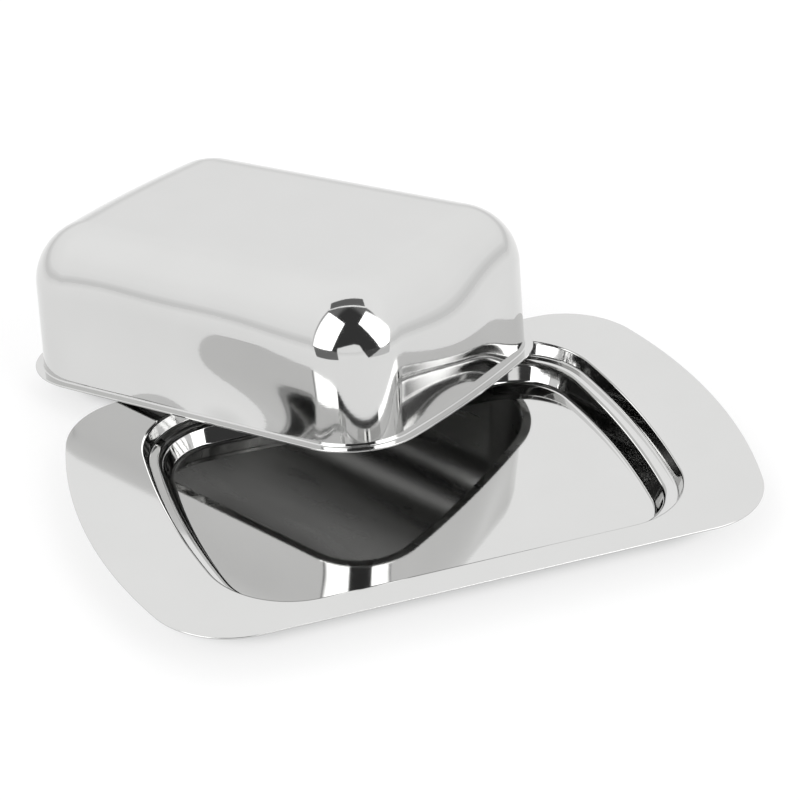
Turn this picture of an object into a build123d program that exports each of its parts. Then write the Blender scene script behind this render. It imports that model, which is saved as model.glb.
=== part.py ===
from build123d import *
from math import asin, atan2, cos, degrees, sin
import os

# Pressed stainless steel butter dish: a tray with a stepped well, and a deep-drawn loose cover.
#
# The tray stands on z = 0 with the middle of its underside at the origin, its length along X and its width
# along Y. The cover is off its seat and leans back across the tray: the underside of its rim bears on the
# tray's back edge and the rim's far corner stands on the table. Millimetres throughout.

SHEET = 0.6  # thickness of both pressings

# ---- tray: outline, mouth of the well, and heights
TRAY_LENGTH, TRAY_WIDTH = 195.0, 125.2
TRAY_END_BOW, TRAY_CORNER = 13.2, 25.0
WELL_LENGTH, WELL_WIDTH = 146.2, 105.6
WELL_END_BOW, WELL_CORNER = 6.0, 25.0
FLANGE_TOP = 11.5  # top of the flange above the table
LEDGE_DROP = 4.4  # from the flange down to the ledge that the cover sits on

# ---- tray: where each bend of the well lies, measured in from its mouth, and the bends' inner radii
UPPER_WALL_IN = 1.4
LEDGE_IN = 5.0
FLOOR_IN = 7.6
MOUTH_BEND, LEDGE_BEND, STEP_BEND, FLOOR_BEND = 0.5, 0.8, 1.8, 1.5

# ---- cover, in its own frame with the underside of its rim at z = 0
COVER_HEIGHT = 46.0
RIM_LENGTH, RIM_WIDTH = 140.4, 102.8
RIM_END_BOW, RIM_CORNER = 3.8, 23.0
RIM_OUT = 2.6  # how far the rim stands out from the wall
RIM_FLARE = 0.4  # radius of the bend from the wall out into the rim
COVER_DRAFT = 1.0  # degrees
CROWN_RADIUS = 18.8  # between the walls and the top: nearly the corners' own radius
EDGE_BREAK = 0.2  # deburred cut edges

# ---- how the cover lies across the tray
COVER_YAW = -54.5  # degrees about Z
COVER_X = -14.0
COVER_BACK = 9.4  # from the tray's back edge to the cover's middle, along its rim
REST_GAP = 0.15  # clearance over the tray's back edge
TABLE_GAP = 0.1  # clearance under the rim's far corner


def dish_outline(length, width, end_bow, corner):
    """Closed outline with straight long sides, bowed ends and rounded corners."""
    end = length / 2 - end_bow
    side = width / 2
    with BuildSketch() as outline:
        with BuildLine():
            Line((-end, -side), (end, -side))
            ThreePointArc((end, -side), (length / 2, 0), (end, side))
            Line((end, side), (-end, side))
            ThreePointArc((-end, side), (-length / 2, 0), (-end, -side))
        make_face()
        fillet(outline.vertices(), corner)
    return outline.sketch


def flat_face(shape, axis, height):
    """The flat face of a shape that lies at a height along an axis."""
    return shape.faces().filter_by(GeomType.PLANE).filter_by_position(axis, height - 0.01, height + 0.01)[0]


tray_outline = dish_outline(TRAY_LENGTH, TRAY_WIDTH, TRAY_END_BOW, TRAY_CORNER)
well_outline = dish_outline(WELL_LENGTH, WELL_WIDTH, WELL_END_BOW, WELL_CORNER)
rim_outline = dish_outline(RIM_LENGTH, RIM_WIDTH, RIM_END_BOW, RIM_CORNER)


def well_plug(grow):
    """The well as a solid: the space inside it at grow 0, its underside at grow SHEET."""
    ledge = FLANGE_TOP - LEDGE_DROP - grow
    floor = SHEET - grow
    with BuildPart() as plug:
        with BuildSketch(Plane.XY.offset(FLANGE_TOP)):
            add(well_outline)
            offset(amount=grow)
        extrude(amount=ledge - FLANGE_TOP, taper=degrees(atan2(UPPER_WALL_IN, LEDGE_DROP)))
        with BuildSketch(Plane.XY.offset(ledge)):
            add(well_outline)
            offset(amount=grow - LEDGE_IN)
        extrude(amount=floor - ledge, taper=degrees(atan2(FLOOR_IN - LEDGE_IN, ledge - floor)))
        fillet(flat_face(plug, Axis.Z, floor).edges(), FLOOR_BEND + grow)
        fillet(flat_face(plug, Axis.Z, ledge).inner_wires()[0].edges(), STEP_BEND + SHEET - grow)
        fillet(flat_face(plug, Axis.Z, ledge).outer_wire().edges(), LEDGE_BEND + grow)
    return plug.part


# ---- tray: a flange with the well's underside hanging from it, hollowed by the space in the well
with BuildPart() as tray:
    with BuildSketch(Plane.XY.offset(FLANGE_TOP)):
        add(tray_outline)
    extrude(amount=-SHEET)
    fillet(tray.edges().filter_by(Axis.Z, reverse=True), EDGE_BREAK)
    add(well_plug(SHEET))
    fillet(flat_face(tray, Axis.Z, FLANGE_TOP - SHEET).inner_wires()[0].edges(), MOUTH_BEND)
    add(well_plug(0), mode=Mode.SUBTRACT)
    fillet(flat_face(tray, Axis.Z, FLANGE_TOP).inner_wires()[0].edges(), MOUTH_BEND + SHEET)
tray.part.label = "tray"


# ---- cover: where its rim plane lies, tipped back until the far corner meets the table
rim_reach = rim_outline.rotate(Axis.Z, COVER_YAW).bounding_box().max.Y
tip = asin((FLANGE_TOP + REST_GAP - TABLE_GAP) / (COVER_BACK + rim_reach))
rim_plane = Plane(
    origin=(
        COVER_X,
        TRAY_WIDTH / 2 + COVER_BACK * cos(tip),
        FLANGE_TOP + REST_GAP - COVER_BACK * sin(tip),
    ),
    x_dir=Vector(1, 0, 0).rotate(Axis.Z, COVER_YAW).rotate(Axis.X, -degrees(tip)),
    z_dir=Vector(0, 0, 1).rotate(Axis.X, -degrees(tip)),
)
rim_axis = Axis(rim_plane.origin, rim_plane.z_dir)


def cover_drum(shrink):
    """The drawn shell as a solid: its outside at shrink 0, the space inside it at shrink SHEET."""
    with BuildPart() as drum:
        with BuildSketch(rim_plane):
            add(rim_outline)
            offset(amount=-RIM_OUT - shrink)
        extrude(amount=COVER_HEIGHT - shrink, taper=COVER_DRAFT)
        fillet(flat_face(drum, rim_axis, COVER_HEIGHT - shrink).edges(), CROWN_RADIUS - shrink)
    return drum.part


# ---- cover: the rim's plate and the drum, joined by the flare, then hollowed
with BuildPart() as cover:
    with BuildSketch(rim_plane):
        add(rim_outline)
    extrude(amount=SHEET)
    fillet(cover.edges().filter_by(rim_axis, reverse=True), EDGE_BREAK)
    add(cover_drum(0))
    fillet(flat_face(cover, rim_axis, SHEET).inner_wires()[0].edges(), RIM_FLARE)
    add(cover_drum(SHEET), mode=Mode.SUBTRACT)
    fillet(flat_face(cover, rim_axis, 0).inner_wires()[0].edges(), RIM_FLARE + SHEET)
cover.part.label = "cover"


os.makedirs("parts", exist_ok=True)
export_step(tray.part, "parts/tray.step")
export_step(cover.part, "parts/cover.step")
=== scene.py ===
import math

import bpy
import numpy as np
from mathutils import Matrix, Vector


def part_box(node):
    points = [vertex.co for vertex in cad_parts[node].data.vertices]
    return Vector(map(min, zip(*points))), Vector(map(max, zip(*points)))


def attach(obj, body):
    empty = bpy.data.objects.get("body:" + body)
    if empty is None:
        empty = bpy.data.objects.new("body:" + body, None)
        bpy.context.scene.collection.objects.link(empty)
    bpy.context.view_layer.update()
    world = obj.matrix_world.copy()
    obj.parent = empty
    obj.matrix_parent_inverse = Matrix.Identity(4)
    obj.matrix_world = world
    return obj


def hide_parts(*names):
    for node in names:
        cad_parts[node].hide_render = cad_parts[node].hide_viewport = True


# Polished stainless steel butter dish: a winged tray with a stepped well, and a deep-drawn cover that leans
# across the tray's back edge. Both pressings are rebuilt as fine quad meshes with exact normals, because a
# polished surface shows every facet. Lengths are in metres.

MM = 0.001
SHEET = 0.6 * MM

# ---- tray, as in the CAD model
TRAY_END_BOW, TRAY_CORNER = 13.2 * MM, 25.0 * MM
WELL_LENGTH, WELL_WIDTH = 146.2 * MM, 105.6 * MM
WELL_END_BOW, WELL_CORNER = 6.0 * MM, 25.0 * MM
LEDGE_DROP = 4.4 * MM
UPPER_WALL_IN, LEDGE_IN, FLOOR_IN = 1.4 * MM, 5.0 * MM, 7.6 * MM
MOUTH_BEND, LEDGE_BEND, STEP_BEND, FLOOR_BEND = 0.5 * MM, 0.8 * MM, 1.8 * MM, 1.5 * MM

# ---- cover, as in the CAD model
COVER_HEIGHT = 46.0 * MM
RIM_LENGTH, RIM_WIDTH = 140.4 * MM, 102.8 * MM
RIM_END_BOW, RIM_CORNER = 3.8 * MM, 23.0 * MM
RIM_OUT, RIM_FLARE = 2.6 * MM, 0.4 * MM
COVER_DRAFT = math.radians(1.0)
CROWN_RADIUS = 18.8 * MM
COVER_YAW = math.radians(-54.5)
COVER_X, COVER_BACK = -14.0 * MM, 9.4 * MM
REST_GAP, TABLE_GAP = 0.15 * MM, 0.1 * MM

# ---- how the drawn sheet strays from flat: heights of the half waves along each wall of the cover
FRONT_BOW, FRONT_TWIST = (-2.17 * MM, -0.38 * MM, -0.2 * MM, -0.5 * MM), (-0.15 * MM, 0.33 * MM)
RIGHT_BOW, RIGHT_TWIST = (1.44 * MM, 0.66 * MM, -0.82 * MM), (0.05 * MM, -0.25 * MM)
BACK_BOW, LEFT_BOW = (-0.9 * MM, 0.2 * MM, 0.1 * MM), (-0.6 * MM, 0.1 * MM)
SWELL_HEIGHT, SWELL_END = 36.0 * MM, 42.0 * MM
FLAT_SWELL = 0.01 * MM

# ---- where those waves act on the cover, in its own frame
LONG_WALL, SHORT_WALL = RIM_LENGTH - 28 * MM, RIM_WIDTH - 17 * MM  # the runs between the corners
LONG_WALL_FROM, LONG_WALL_FULL = 12 * MM, 24 * MM  # distances from the middle at which they set in
SHORT_WALL_FROM, SHORT_WALL_FULL = 30 * MM, 42 * MM
WALL_END = 8 * MM  # the waves die out over this much at each end of a wall

EDGE_BREAK = 0.2 * MM
FINE = 1.6 * MM  # longest step along a flat stretch of either section
BEND_STEP = 0.6 * MM  # longest step round a bend
FLANGE_STRIP, FLOOR_STRIP, CROWN_STRIP = 2 * MM, 3 * MM, 0.3 * MM  # flats that belong to the sections

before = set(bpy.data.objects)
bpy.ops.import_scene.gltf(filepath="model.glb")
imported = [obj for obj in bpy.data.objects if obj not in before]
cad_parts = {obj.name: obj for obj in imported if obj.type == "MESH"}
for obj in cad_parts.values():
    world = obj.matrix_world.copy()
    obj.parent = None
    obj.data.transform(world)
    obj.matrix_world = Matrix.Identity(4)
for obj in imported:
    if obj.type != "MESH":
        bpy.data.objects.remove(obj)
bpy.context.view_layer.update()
tray_low, tray_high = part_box("tray")
TRAY_LENGTH = tray_high.x - tray_low.x
TRAY_WIDTH = tray_high.y - tray_low.y
FLANGE_TOP = tray_high.z


# ---------------------------------------------------------------- outlines and sections


def outline(length, width, end_bow, corner):
    """Closed outline with straight long sides, bowed ends and round corners: points and outward normals."""
    a, b = length / 2, width / 2
    end_radius = (b * b + end_bow * end_bow) / (2 * end_bow)
    end_centre = a - end_radius
    corner_y = b - corner
    corner_x = end_centre + math.sqrt((end_radius - corner) ** 2 - corner_y**2)
    turn = math.atan2(corner_y, corner_x - end_centre)
    end = np.linspace(0, turn, 24, endpoint=False)
    bend = np.linspace(turn, math.pi / 2, 40, endpoint=False)
    side = np.linspace(corner_x, 0, 24, endpoint=False)
    points = [(end_centre + end_radius * math.cos(t), end_radius * math.sin(t)) for t in end]
    points += [(corner_x + corner * math.cos(t), corner_y + corner * math.sin(t)) for t in bend]
    points += [(x, b) for x in side]
    normals = [(math.cos(t), math.sin(t)) for t in (*end, *bend)] + [(0.0, 1.0)] * len(side)
    quarter = np.hstack([points, normals])
    half = np.vstack([quarter, [(0.0, b, 0.0, 1.0)], quarter[:0:-1] * (-1, 1, -1, 1)])
    whole = np.vstack([half, half * (-1, -1, -1, -1)])
    return whole[:, :2], whole[:, 2:]


def section(corners, radii):
    """Filleted section through (inward, up) corners: points, and normals to the left of the way it runs."""
    corners = np.array(corners)
    steps = np.diff(corners, axis=0)
    ways = steps / np.linalg.norm(steps, axis=1)[:, None]
    lefts = np.stack([-ways[:, 1], ways[:, 0]], axis=1)
    points, normals = [corners[0]], [lefts[0]]

    def run_to(target, normal):
        count = max(1, math.ceil(np.linalg.norm(target - points[-1]) / FINE))
        start = points[-1]
        for k in range(1, count + 1):
            points.append(start + (target - start) * k / count)
            normals.append(normal)

    for i, radius in enumerate(radii):
        turn = math.atan2(
            ways[i][0] * ways[i + 1][1] - ways[i][1] * ways[i + 1][0], ways[i] @ ways[i + 1]
        )
        side = math.copysign(1, turn)
        back = radius * math.tan(abs(turn) / 2)
        run_to(corners[i + 1] - ways[i] * back, lefts[i])
        centre = points[-1] + side * radius * lefts[i]
        count = max(6, math.ceil(abs(turn) * radius / BEND_STEP))
        for k in range(1, count + 1):
            angle = turn * k / count
            c, s = math.cos(angle), math.sin(angle)
            normal = np.array([c * lefts[i][0] - s * lefts[i][1], s * lefts[i][0] + c * lefts[i][1]])
            points.append(centre - side * radius * normal)
            normals.append(normal)
    run_to(corners[-1], lefts[-1])
    return np.array(points), np.array(normals)


def swept(ring, part_section):
    """Rows of the surface that a section makes round an outline: a list of (points, normals)."""
    plan, out = ring
    rows = []
    for (inward, up), (n_in, n_up) in zip(*part_section):
        place = np.column_stack([plan - inward * out, np.full(len(plan), up)])
        normal = np.column_stack([-n_in * out, np.full(len(plan), n_up)])
        rows.append((place, normal))
    return rows


def flat_rows(inner, outer, up):
    """Rows between two rings of points at one height, the two rings themselves left out."""
    gap = np.linalg.norm(outer - inner, axis=1).max()
    count = max(2, math.ceil(gap / (2 * FINE)))
    normal = np.tile((0.0, 0.0, 1.0), (len(inner), 1))
    rows = []
    for k in range(1, count):
        plan = inner + (outer - inner) * k / count
        rows.append((np.column_stack([plan, np.full(len(plan), up)]), normal))
    return rows


def middle_rows(ring_points, up):
    """Rows that close a flat: from the line down its middle out to a ring of points, ring left out."""
    reach = abs(ring_points[:, 0]).max() - abs(ring_points[:, 1]).max()
    spine = np.column_stack([np.clip(ring_points[:, 0], -reach, reach), np.zeros(len(ring_points))])
    start = np.column_stack([spine, np.full(len(spine), up)])
    return [(start, np.tile((0.0, 0.0, 1.0), (len(start), 1)))] + flat_rows(spine, ring_points, up)


def other_side(rows):
    """The sheet's other face: the same rows one thickness deeper, in the opposite order."""
    return [(place - SHEET * normal, -normal) for place, normal in reversed(rows)]


def broken_edge(ring, low, high):
    """Rows round a sheet's deburred cut edge, from its upper face to its lower one."""
    plan, out = ring
    rows = []
    for height, first, last in ((high - EDGE_BREAK, 90, 0), (low + EDGE_BREAK, 0, -90)):
        for angle in np.radians(np.linspace(first, last, 6)):
            c, s = math.cos(angle), math.sin(angle)
            place = np.column_stack(
                [plan + (c - 1) * EDGE_BREAK * out, np.full(len(plan), height + EDGE_BREAK * s)]
            )
            rows.append((place, np.column_stack([c * out, np.full(len(plan), s)])))
    return rows


def pushed(rows, height_at):
    """The same rows pushed out along their normals by a height field, with the normals tilted to match."""
    step = 0.02 * MM
    out = []
    for place, normal in rows:
        height = height_at(place)
        slope = np.stack([(height_at(place + step * axis) - height) / step for axis in np.eye(3)], axis=1)
        slope -= (slope * normal).sum(1)[:, None] * normal
        tilted = normal - slope
        tilted /= np.linalg.norm(tilted, axis=1)[:, None]
        out.append((place + height[:, None] * normal, tilted))
    return out


def sheet_object(name, rows, placement, material, body):
    """A mesh from rows of points round an outline, carrying the rows' exact normals.

    The second half of the rows is the sheet's unseen face, marked "inside" for the material.
    """
    place = np.concatenate([p for p, _ in rows])
    normal = np.concatenate([n for _, n in rows])
    turn = np.array(placement.to_3x3())
    place = place @ turn.T + np.array(placement.translation)
    normal = normal @ turn.T

    count = len(rows[0][0])
    faces = []
    for i in range(len(rows) - 1):
        for k in range(count):
            a, b = i * count + k, i * count + (k + 1) % count
            faces.append((a, a + count, b + count, b))
    mesh = bpy.data.meshes.new(name)
    mesh.from_pydata(place.tolist(), [], faces)
    mesh.polygons.foreach_set("use_smooth", [True] * len(mesh.polygons))
    mesh.normals_split_custom_set_from_vertices(normal.tolist())
    inside = mesh.attributes.new("inside", "FLOAT", "POINT")
    inside.data.foreach_set("value", np.repeat(np.arange(len(rows)) > len(rows) // 2, count).astype(float))
    obj = bpy.data.objects.new(name, mesh)
    bpy.context.scene.collection.objects.link(obj)
    obj.data.materials.append(material)
    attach(obj, body)
    return obj


# ---------------------------------------------------------------- materials


class Graph:
    """Short forms for the shader nodes that this scene uses."""

    def __init__(self, owner):
        owner.use_nodes = True
        self.nodes, self.links = owner.node_tree.nodes, owner.node_tree.links

    def feed(self, socket, value):
        """Links an output to a socket, or sets the socket to a plain value."""
        if isinstance(value, bpy.types.NodeSocket):
            self.links.new(value, socket)
        elif value is not None:
            socket.default_value = value

    def node(self, kind, *values, **settings):
        """A node with its settings, and its first inputs fed in order; None leaves one as it is."""
        node = self.nodes.new("ShaderNode" + kind)
        for key, value in settings.items():
            setattr(node, key, value)
        for socket, value in zip(node.inputs, values):
            self.feed(socket, value)
        return node

    def math(self, operation, *values):
        return self.node("Math", *values, operation=operation).outputs[0]

    def dot(self, a, b):
        return self.node("VectorMath", a, b, operation="DOT_PRODUCT").outputs["Value"]

    def stretched(self, place, scale):
        return self.node("VectorMath", place, scale, operation="MULTIPLY").outputs["Vector"]

    def ramp(self, value, low, high, first=0.0, last=1.0):
        """first below low, last above high, smooth between them."""
        node = self.node("MapRange", value, low, high, first, last, interpolation_type="SMOOTHSTEP")
        return node.outputs["Result"]

    def noise(self, place, scale, detail):
        return self.node("TexNoise", place, None, scale, detail).outputs[0]

    def blend(self, factor, first, last):
        node = self.node("Mix", factor, data_type="RGBA")
        self.feed(node.inputs[6], first)
        self.feed(node.inputs[7], last)
        return node.outputs[2]


def grey(level):
    return (level, level, level, 1)


def polished_steel(name, placement, gloss, satin, satin_from, satin_to):
    """Mirror-polished sheet: cloudy gloss, polishing lines, a satin zone by height, a matt inside painted
    darker as shade.
    """
    mat = bpy.data.materials.new(name)
    graph = Graph(mat)
    shader = graph.nodes["Principled BSDF"]
    shader.inputs["Metallic"].default_value = 1.0
    inside = graph.node("Attribute", attribute_name="inside").outputs["Fac"]
    place = graph.node(
        "Mapping",
        graph.node("TexCoord").outputs["Object"],
        placement.translation,
        placement.to_euler(),
        vector_type="TEXTURE",
    ).outputs[0]
    height = graph.node("SeparateXYZ", place).outputs["Z"]
    upper = graph.ramp(height, satin_from, satin_to)

    clouds = graph.noise(place, 45.0, 3.0)
    wiped = graph.noise(graph.stretched(place, (1.0, 5.0, 5.0)), 30.0, 4.0)
    polished = graph.blend(clouds, (0.618, 0.618, 0.612, 1), (0.648, 0.648, 0.643, 1))
    # the inside face is rougher and painted darker than the polished face: a matt finish plus painted shade
    # in the hollow
    dull_and_shaded = graph.blend(wiped, (0.3, 0.3, 0.295, 1), (0.4, 0.4, 0.395, 1))
    graph.feed(shader.inputs["Base Color"], graph.blend(inside, polished, dull_and_shaded))

    haze = graph.math("MULTIPLY_ADD", clouds, 0.4 * gloss, 0.8 * gloss)
    haze = graph.math("MULTIPLY_ADD", upper, satin, haze)
    brushed = graph.ramp(wiped, 0.2, 0.8, 0.24, 0.34)
    rough = graph.math("MULTIPLY_ADD", inside, graph.math("SUBTRACT", brushed, haze), haze)
    graph.feed(shader.inputs["Roughness"], rough)

    round_walls = graph.noise(graph.stretched(place, (25.0, 25.0, 1900.0)), 1.0, 2.0)
    along_flats = graph.noise(graph.stretched(place, (25.0, 1900.0, 25.0)), 1.0, 2.0)
    lines = graph.math("ADD", round_walls, along_flats)
    bump = graph.node("Bump")
    bump.inputs["Strength"].default_value = 1.0
    bump.inputs["Distance"].default_value = 0.002 * MM
    graph.feed(bump.inputs["Height"], lines)
    graph.feed(shader.inputs["Normal"], bump.outputs["Normal"])
    return mat


# ---------------------------------------------------------------- the two pressings


def fade(x, start, stop):
    """0 before start, 1 after stop, smooth between them."""
    t = np.clip((x - start) / (stop - start), 0, 1)
    return t * t * (3 - 2 * t)


def swell(up, waves):
    """Half waves up a wall from its rim, led smoothly down to nothing on the crown."""
    crown = COVER_HEIGHT - CROWN_RADIUS
    pitch = waves * math.pi / SWELL_HEIGHT
    height, slope = math.sin(pitch * crown), pitch * math.cos(pitch * crown)
    t = np.clip((up - crown) / (SWELL_END - crown), 0, 1)
    tail = (2 * t**3 - 3 * t**2 + 1) * height + (t**3 - 2 * t**2 + t) * (SWELL_END - crown) * slope
    return np.where(up < crown, np.sin(pitch * np.maximum(up, 0)), tail)


def bowed(along, up, width, waves, second_waves):
    """How far a drawn wall bows out: half waves along it, with one swell up it and with two."""
    place = np.clip(along / width + 0.5, 0, 1)
    edge = 1 - fade(abs(along), width / 2 - WALL_END, width / 2)
    first = sum(a * np.sin((k + 1) * math.pi * place) for k, a in enumerate(waves))
    second = sum(a * np.sin((k + 1) * math.pi * place) for k, a in enumerate(second_waves))
    return edge * (first * swell(up, 1) + second * swell(up, 2))


def cover_bow(p):
    """The cover's walls, each bowed its own way between its stiff corners."""
    x, y, z = p.T
    front = bowed(x, z, LONG_WALL, FRONT_BOW, FRONT_TWIST) * fade(-y, LONG_WALL_FROM, LONG_WALL_FULL)
    back = bowed(x, z, LONG_WALL, BACK_BOW, ()) * fade(y, LONG_WALL_FROM, LONG_WALL_FULL)
    right = bowed(y, z, SHORT_WALL, RIGHT_BOW, RIGHT_TWIST) * fade(x, SHORT_WALL_FROM, SHORT_WALL_FULL)
    left = bowed(y, z, SHORT_WALL, LEFT_BOW, ()) * fade(-x, SHORT_WALL_FROM, SHORT_WALL_FULL)
    return front + back + right + left


def tray_bow(p):
    """The tray's flats are never quite flat: long shallow swells, stiffened by the well's bends."""
    x, y, _ = p.T
    waves = np.sin(47 * x + 31 * y + 1.0) + 0.7 * np.sin(-38 * x + 61 * y) + 0.5 * np.sin(83 * x + 2.0)
    return FLAT_SWELL * (2.2 + waves)


def make_tray():
    edge = outline(TRAY_LENGTH, TRAY_WIDTH, TRAY_END_BOW, TRAY_CORNER)
    mouth = outline(WELL_LENGTH, WELL_WIDTH, WELL_END_BOW, WELL_CORNER)
    floor = SHEET
    ledge = FLANGE_TOP - LEDGE_DROP
    corners = [
        (-FLANGE_STRIP, FLANGE_TOP),
        (0, FLANGE_TOP),
        (UPPER_WALL_IN, ledge),
        (LEDGE_IN, ledge),
        (FLOOR_IN, floor),
        (FLOOR_IN + FLOOR_STRIP, floor),
    ]
    bends = [MOUTH_BEND + SHEET, LEDGE_BEND, STEP_BEND + SHEET, FLOOR_BEND]
    well = swept(mouth, section(corners, bends))[::-1]
    upper = middle_rows(well[0][0][:, :2], floor) + well
    upper += flat_rows(well[-1][0][:, :2], edge[0] - EDGE_BREAK * edge[1], FLANGE_TOP)
    upper = pushed(upper, tray_bow)
    return upper + broken_edge(edge, FLANGE_TOP - SHEET, FLANGE_TOP) + other_side(upper)


def make_cover():
    rim = outline(RIM_LENGTH, RIM_WIDTH, RIM_END_BOW, RIM_CORNER)
    top_in = RIM_OUT + COVER_HEIGHT * math.tan(COVER_DRAFT)
    corners = [
        (EDGE_BREAK, SHEET),
        (RIM_OUT, SHEET),
        (top_in, COVER_HEIGHT),
        (top_in + CROWN_RADIUS + CROWN_STRIP, COVER_HEIGHT),
    ]
    shell = swept(rim, section(corners, [RIM_FLARE, CROWN_RADIUS]))[::-1]
    outer = pushed(middle_rows(shell[0][0][:, :2], COVER_HEIGHT) + shell, cover_bow)
    return outer + broken_edge(rim, 0, SHEET) + other_side(outer)


def cover_placement():
    """Where the cover's rim plane lies: across the tray's back edge, with its far corner on the table."""
    plan, _ = outline(RIM_LENGTH, RIM_WIDTH, RIM_END_BOW, RIM_CORNER)
    reach = (plan[:, 0] * math.sin(COVER_YAW) + plan[:, 1] * math.cos(COVER_YAW)).max()
    tip = math.asin((FLANGE_TOP + REST_GAP - TABLE_GAP) / (COVER_BACK + reach))
    origin = Vector(
        (
            COVER_X,
            TRAY_WIDTH / 2 + COVER_BACK * math.cos(tip),
            FLANGE_TOP + REST_GAP - COVER_BACK * math.sin(tip),
        )
    )
    return Matrix.Translation(origin) @ Matrix.Rotation(-tip, 4, "X") @ Matrix.Rotation(COVER_YAW, 4, "Z")


level = Matrix.Identity(4)
tray_finish = polished_steel("tray_polish", level, 0.045, 0.02, 0.0, FLANGE_TOP)
tray = sheet_object("tray_pressing", make_tray(), level, tray_finish, "tray")
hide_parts("tray")
leaning = cover_placement()
cover_finish = polished_steel("cover_polish", leaning, 0.06, 0.1, COVER_HEIGHT - 3 * MM, COVER_HEIGHT)
cover = sheet_object("cover_pressing", make_cover(), leaning, cover_finish, "cover")
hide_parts("cover")


# ---------------------------------------------------------------- floor, light and camera

FLOOR_REACH, FLOOR_DROP = 6.0, 0.05 * MM
FLOOR_NEAR = 0.34  # metres from the origin within which the floor has its full tone
UNLIT_IN, UNLIT_OUT = 24 * MM, 8 * MM  # the glow comes in over this band inside a footprint's edge
CARD_HEIGHT = 0.2 * MM
ROOM, ROOM_MIDDLE, SOFTBOX = 0.2, 0.05, 3.2  # brightness

CAMERA_AZIMUTH, CAMERA_ELEVATION = math.radians(-20.98), math.radians(32.21)
CAMERA_ROLL = math.radians(-0.31)
CAMERA_DISTANCE, CAMERA_LENS = 820.0, 123.06  # both in millimetres
CAMERA_AIM = Vector((9.1 * MM, 32.1 * MM, FLANGE_TOP))


def footprint(graph, place, centre, turn, length, width, corner):
    """0 well inside a round-cornered rectangle on the floor, 1 outside it."""
    seen = graph.node("Mapping", place, centre, (0, 0, turn), vector_type="TEXTURE").outputs[0]
    folded = graph.node("VectorMath", seen, operation="ABSOLUTE").outputs["Vector"]
    core = (length / 2 - corner, width / 2 - corner, 1.0)
    past = graph.node("VectorMath", folded, core, operation="SUBTRACT").outputs["Vector"]
    past = graph.node("VectorMath", past, (0, 0, 0), operation="MAXIMUM").outputs["Vector"]
    away = graph.node("VectorMath", past, operation="LENGTH").outputs["Value"]
    return graph.ramp(away, corner - UNLIT_IN, corner - UNLIT_OUT)


def make_floor():
    """A pale table, a little darker far away. Painted light: it glows to keep shadows faint, but not under
    the dish.
    """
    mesh = bpy.data.meshes.new("floor")
    size, z = FLOOR_REACH, -FLOOR_DROP
    corners = [(-size, -size, z), (size, -size, z), (size, size, z), (-size, size, z)]
    mesh.from_pydata(corners, [], [(0, 1, 2, 3)])
    obj = bpy.data.objects.new("floor", mesh)
    bpy.context.scene.collection.objects.link(obj)
    mat = bpy.data.materials.new("pale_floor")
    graph = Graph(mat)
    shader = graph.nodes["Principled BSDF"]
    shader.inputs["Roughness"].default_value = 0.9
    place = graph.node("NewGeometry").outputs["Position"]
    distance = graph.node("VectorMath", place, operation="LENGTH").outputs["Value"]
    near = graph.math("MINIMUM", graph.math("DIVIDE", FLOOR_NEAR, distance), 1.0)
    under_tray = footprint(graph, place, (0, 0, 0), 0, TRAY_LENGTH, TRAY_WIDTH, 1.6 * TRAY_CORNER)
    centre = (leaning.translation.x, leaning.translation.y, 0)
    under_cover = footprint(graph, place, centre, COVER_YAW, RIM_LENGTH, RIM_WIDTH, 1.2 * RIM_CORNER)
    graph.feed(shader.inputs["Base Color"], graph.blend(near, grey(0.19), grey(0.24)))
    # painted light: the floor glows, more near the dish, and not under the tray or cover, which paints
    # shade there
    painted_glow_mask = graph.math("MULTIPLY", under_tray, under_cover)
    glow = graph.blend(painted_glow_mask, grey(0.0), graph.blend(near, grey(0.6), grey(0.74)))
    graph.feed(shader.inputs["Emission Color"], glow)
    shader.inputs["Emission Strength"].default_value = 1.0
    obj.data.materials.append(mat)


def direction(azimuth, elevation):
    """Unit vector at an azimuth and elevation. Azimuth 0 is in front of the dish, 90 to its right."""
    a, e = math.radians(azimuth), math.radians(elevation)
    return Vector((math.sin(a) * math.cos(e), -math.cos(a) * math.cos(e), math.sin(e)))


class Studio:
    """The world's shader, built up from panels painted over an even surround."""

    def __init__(self):
        world = bpy.data.worlds.new("studio")
        bpy.context.scene.world = world
        self.graph = Graph(world)
        self.way = self.graph.node("TexCoord").outputs["Generated"]
        self.colour = None

    def surround(self, stops):
        """Brightness by height: (elevation in degrees, brightness) stops."""
        up = self.graph.node("SeparateXYZ", self.way).outputs["Z"]
        bands = self.graph.node("ValToRGB", self.graph.math("MULTIPLY_ADD", up, 0.5, 0.5))
        bands.color_ramp.interpolation = "EASE"
        for k, (elevation, level) in enumerate(stops):
            place = (math.sin(math.radians(elevation)) + 1) / 2
            stop = bands.color_ramp.elements[k] if k < 2 else bands.color_ramp.elements.new(place)
            stop.position = place
            stop.color = grey(level)
        self.colour = bands.outputs["Color"]

    def panel(self, corners, level, softness):
        """A panel with straight edges between (azimuth, elevation) corners, clockwise from inside."""
        ways = [direction(*corner) for corner in corners]
        soft = softness if isinstance(softness, tuple) else (softness,) * len(ways)
        mask = 1.0
        for k, way in enumerate(ways):
            edge = way.cross(ways[(k + 1) % len(ways)]).normalized()
            side = self.graph.ramp(self.graph.dot(self.way, edge), -soft[k], soft[k])
            mask = self.graph.math("MULTIPLY", side, mask)
        self.colour = self.graph.blend(mask, self.colour, grey(level))

    def finish(self):
        self.graph.feed(self.graph.nodes["Background"].inputs["Color"], self.colour)


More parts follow.
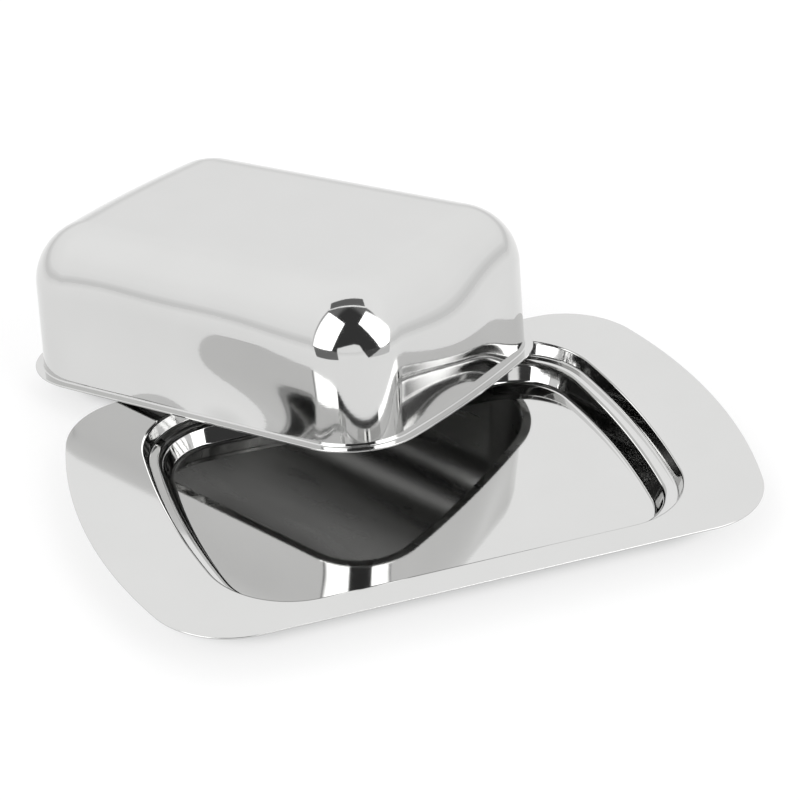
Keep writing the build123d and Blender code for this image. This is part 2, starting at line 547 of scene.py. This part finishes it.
def make_world():
    studio = Studio()
    low_stops = [(-90, 0.87), (0, 0.87), (4, 0.85), (8, 0.94), (13, 1.07)]
    high_stops = [(25, 1.11), (50, 1.16), (90, 1.15)]
    studio.surround(low_stops + high_stops)
    # the dim room beyond the lights, round the camera and over it, and its darkest middle
    studio.panel([(-77, -20), (42, -20), (49, 20), (58, 66), (-10, 86), (-95, 61)], ROOM, 0.02)
    middle = [(-45, -20), (25, -20), (30, 60), (-10, 84), (-60, 60)]
    studio.panel(middle, ROOM_MIDDLE, (0.01, 0.12, 0.12, 0.1, 0.12))
    # the ceiling over it, with a bright gap along its edge
    studio.panel([(55, 64), (99, 69), (126, 80), (-122, 66), (-92, 60)], 1.3, 0.01)
    studio.panel([(60, 66), (99, 69), (126, 80), (-122, 66), (-94, 62)], 0.17, 0.01)
    # the far side of the table's white sheet, where it turns up
    studio.panel([(-38, -6), (5, -6), (-2.5, 11), (-11, 14), (-26, 11), (-38, 6)], 1.05, 0.01)
    # the two softboxes, turned corner to corner above the camera
    studio.panel([(-78, 1), (-46, 1), (-30, 50), (-86, 58)], SOFTBOX, (0.01, 0.01, 0.01, 0.06))
    right_box = [(28, -2), (45, 2), (56, 19), (42, 61), (4, 48)]
    studio.panel(right_box, SOFTBOX, (0.01, 0.03, 0.06, 0.01, 0.01))
    studio.finish()


def make_cards():
    """Three cards that lie where the white sheet ends, seen only in the steel.

    Each is given by the directions to its corners from the near corner of the cover, which mirrors them.
    """
    eye = Vector((-15.0, 4.0, 49.0)) * MM
    cards = [
        ([(-77, -0.5), (-38, -0.5), (-37, -15), (-73, -14)], 0.2),
        ([(3, -0.5), (28, -0.5), (28, -2.5), (11, -14)], 0.08),
        ([(28, -2.5), (46, -0.5), (44, -13), (11, -14)], 0.72),
    ]
    for k, (corners, level) in enumerate(cards):
        ways = [direction(*corner) for corner in corners]
        places = [eye + way * (CARD_HEIGHT - eye.z) / way.z for way in ways]
        mesh = bpy.data.meshes.new("card")
        mesh.from_pydata(places, [], [tuple(range(len(places)))])
        card = bpy.data.objects.new(f"card_{k + 1}", mesh)
        bpy.context.scene.collection.objects.link(card)
        mat = bpy.data.materials.new("card")
        graph = Graph(mat)
        shader = graph.nodes["Principled BSDF"]
        shader.inputs["Base Color"].default_value = grey(0.0)
        shader.inputs["Specular IOR Level"].default_value = 0.0
        shader.inputs["Emission Color"].default_value = grey(level)
        shader.inputs["Emission Strength"].default_value = 1.0
        mesh.materials.append(mat)
        card.visible_camera = card.visible_diffuse = card.visible_shadow = False


def make_camera():
    back = Vector(
        (
            math.sin(CAMERA_AZIMUTH) * math.cos(CAMERA_ELEVATION),
            -math.cos(CAMERA_AZIMUTH) * math.cos(CAMERA_ELEVATION),
            math.sin(CAMERA_ELEVATION),
        )
    )
    data = bpy.data.cameras.new("camera")
    data.lens = CAMERA_LENS
    data.sensor_width = 36.0
    data.clip_start, data.clip_end = 0.01, 50.0
    camera = bpy.data.objects.new("camera", data)
    bpy.context.scene.collection.objects.link(camera)
    camera.rotation_mode = "QUATERNION"
    camera.location = CAMERA_AIM + back * CAMERA_DISTANCE * MM
    roll = Matrix.Rotation(CAMERA_ROLL, 3, "Z").to_quaternion()
    camera.rotation_quaternion = (-back).to_track_quat("-Z", "Y") @ roll
    bpy.context.scene.camera = camera


make_floor()
make_cards()
make_world()
make_camera()
bpy.context.scene.view_settings.view_transform = "Standard"
